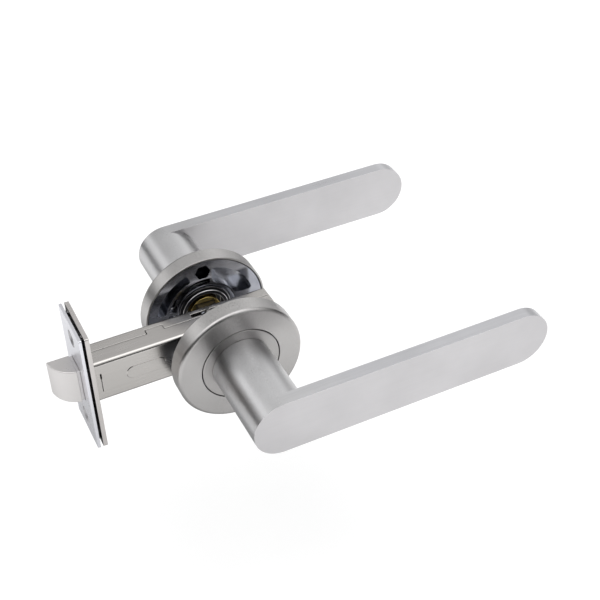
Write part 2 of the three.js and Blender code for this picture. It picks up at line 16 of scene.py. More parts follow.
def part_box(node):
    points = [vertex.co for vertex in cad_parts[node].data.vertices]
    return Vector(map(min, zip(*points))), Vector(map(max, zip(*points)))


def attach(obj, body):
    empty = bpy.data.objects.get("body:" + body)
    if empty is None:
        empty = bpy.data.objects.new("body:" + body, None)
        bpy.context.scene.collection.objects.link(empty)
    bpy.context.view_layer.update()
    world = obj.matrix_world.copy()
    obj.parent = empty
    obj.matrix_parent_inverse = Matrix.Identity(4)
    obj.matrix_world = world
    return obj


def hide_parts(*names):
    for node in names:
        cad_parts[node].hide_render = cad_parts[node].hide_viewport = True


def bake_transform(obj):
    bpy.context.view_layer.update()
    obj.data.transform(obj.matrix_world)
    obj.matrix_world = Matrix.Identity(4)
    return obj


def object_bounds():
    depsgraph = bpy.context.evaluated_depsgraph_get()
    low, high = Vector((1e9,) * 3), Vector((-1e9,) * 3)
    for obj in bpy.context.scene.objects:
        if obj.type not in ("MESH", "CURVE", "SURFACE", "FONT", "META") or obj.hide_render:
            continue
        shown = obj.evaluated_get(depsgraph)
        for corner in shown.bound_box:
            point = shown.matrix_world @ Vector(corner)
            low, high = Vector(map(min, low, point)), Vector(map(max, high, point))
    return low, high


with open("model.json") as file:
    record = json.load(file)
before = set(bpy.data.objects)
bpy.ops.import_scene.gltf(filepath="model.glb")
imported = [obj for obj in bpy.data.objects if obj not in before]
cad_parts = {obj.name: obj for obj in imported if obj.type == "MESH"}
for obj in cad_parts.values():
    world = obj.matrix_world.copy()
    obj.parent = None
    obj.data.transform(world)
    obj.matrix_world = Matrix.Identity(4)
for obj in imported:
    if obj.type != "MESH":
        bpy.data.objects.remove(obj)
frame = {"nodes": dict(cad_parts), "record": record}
CAD_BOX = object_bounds()

MM = 0.001
TRIMS = {"outside": -1, "inside": 1}
SMOOTH_BELOW = 32  # degrees: edges flatter than this are shaded smooth
ROUND = 160  # facets round a large turned piece
SMALL_ROUND = 64
SECTOR_STEP = 3  # degrees between the points of a sector's arcs
TINY = 1e-4
WELD = 0.002  # points nearer than this are merged after a boolean
FLAT_WITHIN = 0.5  # degrees: faces that meet flatter than this become one after a boolean
CLEARANCE = 0.3  # between pieces that fit into each other


# -------------------------------- outlines


def turn(radius, degrees):
    """A point at a distance and an angle from the origin of a plane."""
    angle = math.radians(degrees)
    return Vector((radius * math.cos(angle), radius * math.sin(angle)))


def arc(centre, radius, start, end, steps):
    """Points on an arc between two angles in degrees."""
    spots = [turn(radius, start + (end - start) * step / steps) for step in range(steps + 1)]
    return [Vector(centre) + spot for spot in spots]


def circle(centre, radius, facets=SMALL_ROUND):
    return arc(centre, radius, 0, 360 * (1 - 1 / facets), facets - 1)


def sector(inner, outer, start, end, inner_start=None, inner_end=None):
    """Part of a flat ring, whose ends may lie at other angles on its inner side."""
    steps = max(4, round(abs(end - start) / SECTOR_STEP))
    inner_start = start if inner_start is None else inner_start
    inner_end = end if inner_end is None else inner_end
    return arc((0, 0), outer, start, end, steps) + arc((0, 0), inner, inner_end, inner_start, steps)


def rounded(corners, steps=6):
    """A closed outline from (u, v, radius) corners, with each corner turned into an arc."""
    outline = []
    for index, (u, v, radius) in enumerate(corners):
        corner = Vector((u, v))
        if radius == 0:
            outline.append(corner)
            continue
        before = (Vector(corners[index - 1][:2]) - corner).normalized()
        after = (Vector(corners[(index + 1) % len(corners)][:2]) - corner).normalized()
        half = before.angle(after) / 2
        centre = corner + (before + after).normalized() * (radius / math.sin(half))
        start = corner + before * (radius / math.tan(half)) - centre
        end = corner + after * (radius / math.tan(half)) - centre
        first = math.atan2(start.y, start.x)
        swing = math.atan2(end.y, end.x) - first
        swing = (swing + math.pi) % (2 * math.pi) - math.pi
        for step in range(steps + 1):
            angle = first + swing * step / steps
            outline.append(centre + radius * Vector((math.cos(angle), math.sin(angle))))
    return outline


def rectangle(low, high, corner=0.0):
    """A rectangle between two corners, with its own corners rounded."""
    (u0, v0), (u1, v1) = low, high
    return rounded([(u0, v0, corner), (u1, v0, corner), (u1, v1, corner), (u0, v1, corner)])


def stadium(start, end, radius, steps=48):
    """Two half circles joined by straight sides, along the plane's first axis."""
    return arc((end, 0), radius, -90, 90, steps) + arc((start, 0), radius, 90, 270, steps)


def eased(outline, reach_each_way, spacing=0.2):
    """A closed outline with its corners rounded, by averaging it with its neighbourhood."""
    dense = []
    for before, after in zip(outline, outline[1:] + outline[:1]):
        parts = max(1, round((after - before).length / spacing))
        dense += [before.lerp(after, part / parts) for part in range(parts)]
    span_each_way = round(reach_each_way / spacing)
    count = len(dense)
    width = 2 * span_each_way + 1
    averaged = []
    for index in range(0, count, 2):
        near = [dense[(index + step) % count] for step in range(-span_each_way, span_each_way + 1)]
        averaged.append(sum(near, Vector((0, 0))) / width)
    return averaged


def hexagon(centre, across_flats):
    corner = across_flats / math.sqrt(3)
    return [Vector(centre) + turn(corner, 60 * step) for step in range(6)]


# -------------------------------- solids


def place(axis, u, v, along):
    """A point from its two values in the plane across an axis and its value along that axis."""
    if axis == "x":
        return Vector((along, u, v))
    if axis == "y":
        return Vector((u, along, v))
    return Vector((u, v, along))


def skin(shape, rings):
    """Joins each ring of points to the next one with four-sided faces."""
    for ring, following in zip(rings, rings[1:]):
        for index in range(len(ring)):
            after = (index + 1) % len(ring)
            shape.faces.new((ring[index], ring[after], following[after], following[index]))


def loft(axis, levels):
    """Outlines with the same number of points, each at its place along an axis, and flat ends."""
    shape = bmesh.new()
    rings = [[shape.verts.new(place(axis, u, v, along)) for u, v in outline]
             for outline, along in levels]
    shape.faces.new(rings[0])
    shape.faces.new(rings[-1])
    skin(shape, rings)
    bmesh.ops.recalc_face_normals(shape, faces=shape.faces)
    return shape


def prism(outline, axis, low, high):
    return loft(axis, [(outline, low), (outline, high)])


def block(xs, ys, zs):
    return prism(rectangle((xs[0], min(ys)), (xs[1], max(ys))), "z", min(zs), max(zs))


def turned(outline, axis="y", segments=ROUND):
    """A closed outline of (radius, place) points, turned about an axis."""
    shape = bmesh.new()
    rings = []
    for radius, along in outline:
        spots = [turn(radius, 360 * step / segments) for step in range(segments)]
        rings.append([shape.verts.new(place(axis, u, v, along)) for u, v in spots])
    skin(shape, [*rings, rings[0]])
    bmesh.ops.remove_doubles(shape, verts=shape.verts, dist=TINY)
    bmesh.ops.recalc_face_normals(shape, faces=shape.faces)
    return shape


def plain_ring(inner, outer, start, end):
    """A ring about the spindle, from one place along it to another."""
    return turned([(inner, start), (outer, start), (outer, end), (inner, end)])


def moved(shape, x=0.0, y=0.0):
    bmesh.ops.translate(shape, verts=shape.verts, vec=(x, y, 0.0))
    return shape


def wire(path, radius, facets=14):
    """A round wire along a path of points, with flat ends."""
    shape = bmesh.new()
    across = (path[1] - path[0]).orthogonal().normalized()
    rings = []
    for index, spot in enumerate(path):
        ahead = (path[min(index + 1, len(path) - 1)] - path[max(index - 1, 0)]).normalized()
        across = (across - ahead * across.dot(ahead)).normalized()
        other = ahead.cross(across)
        spots = [turn(radius, 360 * step / facets) for step in range(facets)]
        rings.append([shape.verts.new(spot + across * u + other * v) for u, v in spots])
    skin(shape, rings)
    shape.faces.new(rings[0])
    shape.faces.new(rings[-1])
    bmesh.ops.recalc_face_normals(shape, faces=shape.faces)
    return shape


def joined_up(shape):
    """Removes the needless points and edges that a boolean leaves on flat faces."""
    bmesh.ops.remove_doubles(shape, verts=shape.verts, dist=WELD)
    bmesh.ops.dissolve_limit(
        shape, angle_limit=math.radians(FLAT_WITHIN), verts=shape.verts, edges=shape.edges,
    )
    return shape


def combined(shape, joins=(), cuts=()):
    """A solid with others joined to it, and then others cut away."""
    def held(solid):
        mesh = bpy.data.meshes.new("solid")
        solid.to_mesh(mesh)
        solid.free()
        thing = bpy.data.objects.new("solid", mesh)
        bpy.context.scene.collection.objects.link(thing)
        return thing

    body = held(shape)
    used = [body]
    for operation, solids in (("UNION", joins), ("DIFFERENCE", cuts)):
        for solid in solids:
            modifier = body.modifiers.new(operation, "BOOLEAN")
            modifier.operation = operation
            modifier.solver = "EXACT"
            modifier.object = held(solid)
            used.append(modifier.object)
    evaluated = body.evaluated_get(bpy.context.evaluated_depsgraph_get())
    result = bmesh.new()
    result.from_mesh(evaluated.to_mesh())
    evaluated.to_mesh_clear()
    for thing in used:
        bpy.data.meshes.remove(thing.data)
    return joined_up(result)


def soften(shape, width, segments=2, above=30, chosen=lambda edge: True):
    """Rounds the chosen edges, of those that turn by more than an angle in degrees."""
    limit = math.radians(above)
    edges = [e for e in shape.edges
             if e.is_manifold and e.calc_face_angle(0) > limit and chosen(e)]
    bmesh.ops.bevel(
        shape, geom=edges, offset=width, segments=segments, profile=0.5,
        affect="EDGES", clamp_overlap=True,
    )
    return shape


def copy_of(node):
    """A CAD node's mesh in millimetres, with its flat faces joined up."""
    shape = bmesh.new()
    shape.from_mesh(frame["nodes"][node].data)
    bmesh.ops.scale(shape, vec=(1 / MM,) * 3, verts=shape.verts)
    return joined_up(shape)


# -------------------------------- pieces in the frame

BODY_OF = {
    node: body
    for body, nodes in frame["record"]["behaviour"]["bodies"].items()
    for node in nodes
}
FLAT_FACE = 0.985  # how much of a face's normal lies along the spindle on a flat end
STEEP_FACE = 0.2  # and on a wall


def span(node):
    """A CAD node's lowest and highest corner, in millimetres."""
    low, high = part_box(node)
    return low / MM, high / MM


def reach(node):
    """How far a trim or lever node starts and ends from the origin, along the spindle."""
    low, high = span(node)
    return tuple(sorted((abs(low.y), abs(high.y))))


def add_piece(name, node, shape, *materials):
    """Makes a piece that stands for a CAD node, with the given materials, and hides the node."""
    bmesh.ops.remove_doubles(shape, verts=shape.verts, dist=TINY)
    bmesh.ops.recalc_face_normals(shape, faces=shape.faces)
    mesh = bpy.data.meshes.new(name)
    shape.to_mesh(mesh)
    shape.free()
    mesh.transform(Matrix.Scale(MM, 4))
    mesh.shade_smooth()
    mesh.set_sharp_from_angle(angle=math.radians(SMOOTH_BELOW))
    piece = bpy.data.objects.new(name, mesh)
    bpy.context.scene.collection.objects.link(piece)
    for material in materials:
        mesh.materials.append(material)
    normals = piece.modifiers.new("flat_faces_stay_flat", "WEIGHTED_NORMAL")
    normals.keep_sharp = True
    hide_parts(node)
    return piece


def fixed_piece(name, node, shape, *materials):
    """A piece that moves with its node's body."""
    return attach(add_piece(name, node, shape, *materials), BODY_OF[node])


def painted_piece(name, node, shape, finishes, finish_of):
    """A fixed piece of several materials, which a rule shares out among its faces."""
    piece = fixed_piece(name, node, shape, *finishes)
    for face in piece.data.polygons:
        face.material_index = finishes.index(finish_of(face))


def is_slanted(face):
    """Whether a face lies on a broken edge, between a flat end and a wall along the spindle."""
    return STEEP_FACE < abs(face.normal.y) < FLAT_FACE


# -------------------------------- shader nodes

HIGHLIGHT_STRETCH = 0.75
QUARTER_TURN = 0.25


class Graph:
    """A tree of shader nodes, with short ways to add and join them."""

    def __init__(self, tree):
        self.nodes = tree.nodes
        self.links = tree.links

    def feed(self, socket, value):
        if isinstance(value, bpy.types.NodeSocket):
            self.links.new(value, socket)
        else:
            socket.default_value = value

    def node(self, kind, inputs, **settings):
        """Adds a node with its settings, and feeds its inputs, given in order or by name."""
        node = self.nodes.new(f"ShaderNode{kind}")
        for setting, value in settings.items():
            setattr(node, setting, value)
        for key, value in inputs.items() if isinstance(inputs, dict) else enumerate(inputs):
            self.feed(node.inputs[key], value)
        return node

    def math(self, operation, *values):
        return self.node("Math", values, operation=operation).outputs[0]

    def sum(self, *weighted):
        """The weighted sum of (value, weight) pairs."""
        total = self.math("MULTIPLY", *weighted[0])
        for value, weight in weighted[1:]:
            total = self.math("MULTIPLY_ADD", value, weight, total)
        return total

    def blend(self, factor, first, second):
        ends = [(*end, 1) if isinstance(end, tuple) else end for end in (first, second)]
        inputs = {"Factor": factor, "A": ends[0], "B": ends[1]}
        return self.node("Mix", inputs, data_type="RGBA").outputs["Result"]

    def spread(self, value, low, high, out_low=0.0, out_high=1.0, shape="LINEAR"):
        """Maps a value from one range to another, and keeps it inside."""
        inputs = (value, low, high, out_low, out_high)
        return self.node("MapRange", inputs, interpolation_type=shape).outputs[0]

    def noise(self, vector, scale, detail, **fourth):
        """Noise at a point in space, or in four dimensions where W is given too."""
        inputs = {"Vector": vector, "Scale": scale, "Detail": detail, **fourth}
        dimensions = "4D" if fourth else "3D"
        return self.node("TexNoise", inputs, noise_dimensions=dimensions).outputs["Fac"]

    def vector(self, x, y, z):
        return self.node("CombineXYZ", (x, y, z)).outputs[0]

    def bump(self, height, distance, strength, **under):
        """Fine relief, on top of another bump's Normal where that is given."""
        inputs = {"Height": height, "Distance": distance, "Strength": strength, **under}
        return self.node("Bump", inputs).outputs[0]


class Finish(Graph):
    """One material's nodes, with the point on the piece that is being shaded."""

    def __init__(self, name):
        self.material = bpy.data.materials.new(name)
        self.material.use_nodes = True
        super().__init__(self.material.node_tree)
        coordinates = self.node("TexCoord", ())
        self.point = coordinates.outputs["Object"]
        self.facing = coordinates.outputs["Normal"]
        self.x, self.y, self.z = self.node("SeparateXYZ", (self.point,)).outputs

    def shade(self, inputs):
        """Feeds inputs of the material's shader, given by name."""
        for name, value in inputs.items():
            self.feed(self.nodes["Principled BSDF"].inputs[name], value)

    def surface(self, metallic, roughness, colour, **others):
        inputs = {"Metallic": metallic, "Roughness": roughness, "Base Color": colour, **others}
        self.shade(inputs)
        return self.material

    def stretch(self, direction):
        """Stretches highlights across grooves that run along a direction of the piece."""
        along = self.node(
            "VectorTransform", (direction,),
            vector_type="VECTOR", convert_from="OBJECT", convert_to="WORLD",
        )
        self.shade({
            "Tangent": along.outputs[0],
            "Anisotropic": HIGHLIGHT_STRETCH,
            "Anisotropic Rotation": QUARTER_TURN,
        })


# -------------------------------- materials

GRAIN_STRETCH = 0.02  # how slowly brushed lines change along their own length
TURNED_DRIFT = 0.0012  # the same for lines round a turned piece, in metres
BROAD_GRAIN = 900
FINE_GRAIN = 5200
SMUDGES = 34
TONE_SPREAD = 0.18  # how far from the middle tone a brushed metal reaches its light and dark
NEAR_AXIS = 1e-5  # the least radius that a turned piece's lines are worked out with, in metres
NECK_FADE = 0.03  # how far along a bar its neck's tone fades out, in metres
SATIN_GLOSS = 0.3  # roughness


def grain(graph, direction, scale, detail):
    """Noise in long thin lines: along X, along Z, along an outline round Y, or round the spindle."""
    def slowed(value):
        return graph.math("MULTIPLY", value, GRAIN_STRETCH)

    if direction == "x":
        return graph.noise(graph.vector(slowed(graph.x), graph.y, graph.z), scale, detail)
    if direction == "z":
        return graph.noise(graph.vector(graph.x, graph.y, slowed(graph.z)), scale, detail)
    if direction == "outline":
        return graph.noise(graph.vector(slowed(graph.x), graph.y, slowed(graph.z)), scale, detail)
    squares = graph.math("ADD", graph.math("POWER", graph.x, 2), graph.math("POWER", graph.z, 2))
    radius = graph.math("MAXIMUM", graph.math("SQRT", squares), NEAR_AXIS)
    across = graph.math("MULTIPLY", graph.math("DIVIDE", graph.x, radius), TURNED_DRIFT)
    up = graph.math("MULTIPLY", graph.math("DIVIDE", graph.z, radius), TURNED_DRIFT * scale)
    return graph.noise(graph.vector(radius, graph.y, across), scale, detail, W=up)


def brushed(
    name, light, dark, roughness, direction, across=None, relief=1.0, mottle=0.3, contrast=1.0,
    at_neck=None,
):
    """Brushed metal: lines of uneven tone and gloss, faint smudges, and fine relief.

    across says how highlights are stretched: "turned" for grooves round the spindle, "wall" for
    grooves along the outline of a piece cut along Y, or nothing. relief is the lines' depth, mottle
    the smudges' share of the tone, and contrast how hard light and dark meet. at_neck has the light
    and dark tones that a bar starts with where its neck joins it.
    """
    graph = Finish(name)
    broad = grain(graph, direction, BROAD_GRAIN, 3)
    fine = grain(graph, direction, FINE_GRAIN, 2)
    cloud = graph.noise(graph.point, SMUDGES, 3)
    lines = graph.sum((broad, 0.6), (fine, 0.4))
    tone = graph.sum((lines, 1 - mottle), (cloud, mottle))
    half = TONE_SPREAD / contrast
    mixed = graph.spread(tone, 0.5 - half, 0.5 + half)
    colour = graph.blend(mixed, dark, light)
    if at_neck is not None:
        near_light, near_dark = at_neck
        away = graph.spread(graph.x, 0.0, NECK_FADE)
        colour = graph.blend(away, graph.blend(mixed, near_dark, near_light), colour)
    rough = graph.math(
        "ADD",
        graph.spread(lines, 0.3, 0.7, roughness - 0.02 * contrast, roughness + 0.03 * contrast),
        graph.spread(cloud, 0.35, 0.65, -0.02, 0.03),
    )
    normal = graph.bump(fine, 0.00002 * relief, 0.35)
    normal = graph.bump(broad, 0.00004 * relief, 0.25, Normal=normal)
    graph.surface(1.0, rough, colour, Normal=normal)
    if across == "turned":
        backwards = graph.math("MULTIPLY", graph.z, -1)
        graph.stretch(graph.vector(backwards, 0.0, graph.x))
    if across == "wall":
        spindle_way = (0, 1, 0)
        grooves = graph.node("VectorMath", (graph.facing, spindle_way), operation="CROSS_PRODUCT")
        graph.stretch(grooves.outputs[0])
    return graph.material


def turned_satin(name, light, dark):
    """Satin steel that was brushed while it turned."""
    return brushed(name, light, dark, SATIN_GLOSS, "around", "turned", contrast=2)


def cast_zinc(name, light, dark):
    """Die-cast zinc: a cool grey skin with fine pits, cloudy tone and uneven gloss."""
    graph = Finish(name)
    cloud = graph.noise(graph.point, 240, 4)
    pits = graph.noise(graph.point, 2600, 3)
    colour = graph.blend(graph.spread(cloud, 0.3, 0.7), dark, light)
    rough = graph.spread(cloud, 0.3, 0.7, 0.13, 0.22)
    return graph.surface(1.0, rough, colour, Normal=graph.bump(pits, 0.00002, 0.3))


def plated(name, light, dark, roughness):
    """Plated or drawn metal: cloudy tone, fine scratches, and slightly uneven gloss."""
    graph = Finish(name)
    cloud = graph.noise(graph.point, 180, 3)
    scratches = graph.noise(graph.point, 3400, 4)
    mixed = graph.sum((cloud, 0.6), (scratches, 0.4))
    colour = graph.blend(graph.spread(mixed, 0.35, 0.65), dark, light)
    rough = graph.spread(mixed, 0.3, 0.7, roughness - 0.05, roughness + 0.08)
    return graph.surface(1.0, rough, colour, Normal=graph.bump(scratches, 0.00002, 0.4))


def moulded_nylon(name):
    """Black nylon: slightly cloudy, with a fine moulded skin."""
    graph = Finish(name)
    cloud = graph.noise(graph.point, 120, 3)
    skin = graph.noise(graph.point, 2200, 3)
    colour = graph.blend(cloud, (0.014, 0.014, 0.015), (0.028, 0.028, 0.03))
    rough = graph.spread(skin, 0.3, 0.7, 0.38, 0.52)
    return graph.surface(0.0, rough, colour, Normal=graph.bump(skin, 0.00002, 0.4))


# The satin steels are one metal. Their tones by part are painted light and shade: the rose and
# collar are darker and the forend lighter than the metal, for the light each part gets under these
# lamps.
ROSE_SATIN = turned_satin("rose_satin_steel", (0.53, 0.52, 0.515), (0.415, 0.406, 0.401))
COLLAR_SATIN = turned_satin("collar_satin_steel", (0.47, 0.459, 0.453), (0.375, 0.366, 0.36))
NECK_TONES = (0.62, 0.618, 0.625), (0.49, 0.488, 0.495)
NECK_SATIN = turned_satin("neck_satin_steel", *NECK_TONES)
BAR_SATIN = brushed(
    "bar_satin_steel", (0.615, 0.606, 0.618), (0.535, 0.527, 0.538), 0.32, "x",
    relief=0.5, mottle=0.8, contrast=1.3,
)
WALL_SATIN = brushed(
    "bar_wall_satin_steel", (0.6, 0.6, 0.62), (0.52, 0.52, 0.54), SATIN_GLOSS, "outline", "wall",
    at_neck=NECK_TONES,
)
# Painted highlight: a near-white tone on the bar's broken edges.
EDGE_HIGHLIGHT_SATIN = brushed(
    "bar_edge_painted_highlight_steel", (0.98, 0.97, 0.98), (0.92, 0.91, 0.92), SATIN_GLOSS, "outline", "wall",
)
PLATE_SATIN = brushed(
    "plate_satin_steel", (0.86, 0.863, 0.91), (0.82, 0.823, 0.87), 0.28, "z",
    relief=0.12, mottle=0.6,
)
CASE_STEEL = brushed(
    "rolled_case_steel", (0.605, 0.584, 0.565), (0.54, 0.522, 0.504), 0.26, "x", relief=0.15,
)
BOLT_STEEL = brushed(
    "ground_bolt_steel", (0.705, 0.686, 0.68), (0.643, 0.626, 0.62), 0.28, "z",
    relief=0.2, mottle=0.6,
)
BACKING_STEEL = brushed("backing_plate_steel", (0.74, 0.71, 0.695), (0.62, 0.595, 0.58), 0.28, "z")
SUNK_STEEL = plated("countersunk_steel", (0.55, 0.545, 0.56), (0.42, 0.415, 0.43), 0.4)
SPRING_STEEL = plated("spring_steel", (0.5, 0.5, 0.51), (0.34, 0.34, 0.35), 0.26)
# Painted highlight on the broken edges of the lever collars and circlips.
EDGE_HIGHLIGHT_STEEL = plated("steel_painted_edge_highlight", (0.9, 0.9, 0.92), (0.75, 0.75, 0.77), 0.2)
# Black steel for the spindle, set screws and circlips; also painted shade on plate faces in the gap
# between the plates, and on the collars' faces inside the trims.
BLACK_STEEL_AND_SHADE = plated("dark_steel", (0.12, 0.12, 0.125), (0.05, 0.05, 0.055), 0.42)
YELLOW_ZINC = plated("yellow_zinc", (1.0, 0.78, 0.3), (0.85, 0.62, 0.2), 0.16)
ZINC = cast_zinc("cast_zinc", (0.42, 0.43, 0.47), (0.33, 0.34, 0.38))
# Painted shade: near-black zinc deep in the screw pockets.
POCKET_SHADE_ZINC = cast_zinc("cast_zinc_painted_pocket_shade", (0.035, 0.036, 0.042), (0.02, 0.02, 0.024))
# Painted highlight: pale zinc on the floors of the kidney pockets.
KIDNEY_HIGHLIGHT_ZINC = cast_zinc("cast_zinc_painted_kidney_highlight", (0.84, 0.86, 0.91), (0.72, 0.74, 0.79))
# The outside plate is a shaded copy of the zinc, painted much darker than the inside one, so that
# the case's side reflects it dark.
PLATE_ZINC = {
    "outside": cast_zinc("cast_zinc_painted_shade", (0.12, 0.123, 0.135), (0.09, 0.092, 0.103)),
    "inside": ZINC,
}
NYLON = moulded_nylon("black_nylon")


# -------------------------------- latch case

CASE_EDGE = 1.5
CASE_WALL = 1.0
CASE_PAD_HEIGHT = 0.25
CASE_PAD = (-42.5, -26.0, 3.0)  # start and end along the case, and radius
SEAM_Y = 1.0
TAB = (-30.0, -23.0, 3.5)  # start, end and how far it reaches across
SLOT_X = (-10.5, 8.6)
SLOT_Y = (2.0, 4.0)
SLIT_X = -52.7
SLIT_Z = (-5.0, 1.8, 4.4)  # its end, its shoulder and its top
SLIT_HALF_WIDTHS = (0.15, 0.35)  # from its end up, and from its shoulder up
HUB_HOLE = 7.1


def case_channel(side, seam, low, high):
    """A folded sheet of steel with its open side at the seam."""
    outer = side * (high.y if side > 0 else -low.y)
    inner = outer - side * CASE_WALL
    top, inner_top = high.z, high.z - CASE_WALL
    outline = rounded([
        (seam, -top, 0), (outer, -top, CASE_EDGE), (outer, top, CASE_EDGE), (seam, top, 0),
        (seam, inner_top, 0), (inner, inner_top, 0.6), (inner, -inner_top, 0.6),
        (seam, -inner_top, 0),
    ], steps=8)
    return prism(outline, "x", low.x, high.x)


def case_pad(side, width):
    """The low oval that stands out of a half's side."""
    start, end, radius = CASE_PAD
    flat = stadium(start + radius, end - radius, radius - 0.2, 24)
    wide = stadium(start + radius, end - radius, radius + 0.1, 24)
    return loft("y", [(wide, side * (width - 0.05)), (flat, side * (width + CASE_PAD_HEIGHT))])


def case_slit(width):
    """The fine slit in the near half's side."""
    end, shoulder, top = SLIT_Z
    ys = (-width - 1, -width + 2)
    return [block((SLIT_X - half, SLIT_X + half), ys, (start, top))
            for half, start in zip(SLIT_HALF_WIDTHS, (end, shoulder))]


def case_half(name, side):
    """A folded half: the near one has the seam's tabs and the rear wall, the far one their gaps."""
    node = f"case_{name}_half"
    low, high = span(node)
    width = max(-low.y, high.y) - CASE_PAD_HEIGHT
    outer = Vector((low.x, -width, low.z)), Vector((high.x, width, high.z))
    top = high.z
    inside = top - CASE_WALL
    channel = case_channel(side, SEAM_Y + side * CLEARANCE / 2, *outer)
    joins = [case_pad(side, width)]
    cuts = [prism(circle((0, 0), HUB_HOLE, ROUND), "y", side * (width - 2), side * (width + 1))]
    for up in (-1, 1):
        cuts.append(block(SLOT_X, [side * y for y in SLOT_Y], (up * (inside - 1), up * (top + 1))))
    tab_start, tab_end, tab_reach = TAB
    if name == "near":
        for up in (-1, 1):
            ys = (0, tab_reach - CLEARANCE / 2)
            joins.append(block((tab_start, tab_end), ys, (up * inside, up * top)))
        rear = block((high.x - CASE_WALL, high.x), (-width + 0.5, width - CASE_WALL - CLEARANCE),
                     (CLEARANCE - inside, inside - CLEARANCE))
        joins.append(rear)
        cuts += case_slit(width)
    else:
        for up in (-1, 1):
            xs = (tab_start - CLEARANCE, tab_end + CLEARANCE)
            ys = (0, tab_reach + CLEARANCE / 2)
            cuts.append(block(xs, ys, (up * (inside - 0.3), up * (top + 0.3))))
    shell = soften(combined(channel, joins, cuts), 0.2, 3)
    fixed_piece(f"case_shell_{name}", node, shell, CASE_STEEL)


# -------------------------------- latch plates

SCREW_Z = 20.5  # of the forend's screws, above and below the bolt
SCREW_RADIUS = 2.1
COUNTERSINK_RADIUS = 3.9
PEG_RADIUS = 1.2
PEG_PLACE = (8, 26.3)
BACKING_THICKNESS = 1.8
SHEET_CORNER = 0.5
OPENING_CORNER = 0.8
FACES_BACK = 0.9  # the least X of the normal of a face on a plate's back
FACES_FRONT = -0.95  # and the greatest on its flat front


def sheet(node):
    """A latch plate's rectangle, as large as its node."""
    low, high = span(node)
    return rectangle((low.y, low.z), (high.y, high.z), SHEET_CORNER)


def front_faceplate():
    """The forend, with its bolt opening and countersunk screw holes."""
    low, high = span("front_faceplate")
    bolt_low, bolt_high = span("latch_bolt")
    opening = rectangle(
        (bolt_low.y - CLEARANCE, bolt_low.z - CLEARANCE),
        (bolt_high.y + CLEARANCE, bolt_high.z + CLEARANCE),
        OPENING_CORNER,
    )
    cuts = [prism(opening, "x", low.x - 1, high.x + 1)]
    for z in (-SCREW_Z, SCREW_Z):
        sink = [(circle((0, z), COUNTERSINK_RADIUS + 0.5), low.x - 0.5),
                (circle((0, z), SCREW_RADIUS), high.x - 0.1)]
        cuts.append(loft("x", sink))
        cuts.append(prism(circle((0, z), SCREW_RADIUS), "x", low.x - 1, high.x + 1))
    plate = combined(prism(sheet("front_faceplate"), "x", low.x, high.x), cuts=cuts)
    soften(plate, 0.14, 3)

    def finish_of(face):
        middle = face.center / MM
        near_screw = math.hypot(middle.y, abs(middle.z) - SCREW_Z) < COUNTERSINK_RADIUS
        if near_screw and face.normal.x > FACES_FRONT:
            return SUNK_STEEL
        # The plate's back, in the gap towards the backing plate, is painted dark as shade.
        return BLACK_STEEL_AND_SHADE if face.normal.x > FACES_BACK else PLATE_SATIN

    finishes = [PLATE_SATIN, SUNK_STEEL, BLACK_STEEL_AND_SHADE]
    painted_piece("faceplate_sheet", "front_faceplate", plate, finishes, finish_of)


def backing_plate():
    """The second plate, with pegs that hold it off the forend; the pegs and its face towards the
    forend are painted dark, as shade in the gap.
    """
    low, high = span("backing_plate")
    front = high.x - BACKING_THICKNESS
    case_low, case_high = span("case_near_half")
    opening = rectangle(
        (case_low.y + CASE_PAD_HEIGHT - CLEARANCE, case_low.z - CLEARANCE),
        (-case_low.y - CASE_PAD_HEIGHT + CLEARANCE, case_high.z + CLEARANCE),
        CASE_EDGE,
    )
    pegs = []
    for y in (-PEG_PLACE[0], PEG_PLACE[0]):
        for z in (-PEG_PLACE[1], PEG_PLACE[1]):
            pegs.append(prism(circle((y, z), PEG_RADIUS, 32), "x", low.x, front + 0.5))
    cuts = [prism(opening, "x", front - 1, high.x + 1)]
    for z in (-SCREW_Z, SCREW_Z):
        cuts.append(prism(circle((0, z), SCREW_RADIUS), "x", front - 1, high.x + 1))
    plate = combined(prism(sheet("backing_plate"), "x", front, high.x), pegs, cuts)
    soften(plate, 0.2, 3)

    def finish_of(face):
        # The pegs and the face towards the forend are painted dark, as shade in the gap.
        is_gap_shade = face.normal.x < -0.5 or face.center.x / MM < front - 0.1
        return BLACK_STEEL_AND_SHADE if is_gap_shade else BACKING_STEEL

    painted_piece("backing_sheet", "backing_plate", plate, [BACKING_STEEL, BLACK_STEEL_AND_SHADE], finish_of)


# -------------------------------- latch insides

BOLT_HEAD_END = -61.2
BOLT_STEP = 0.4
BEVEL_BULGE = 2.25
BEVEL_LAND = 0.4
BEVEL_STEPS = 32
SOCKET = 2.3
TAIL_RADIUS = 2.0
TAIL_HEAD = (2.9, 1.0)  # radius and length
WIRE_RADII = {"bolt_spring": 0.35, "retractor_spring": 0.4}
STEPS_PER_TURN = 28


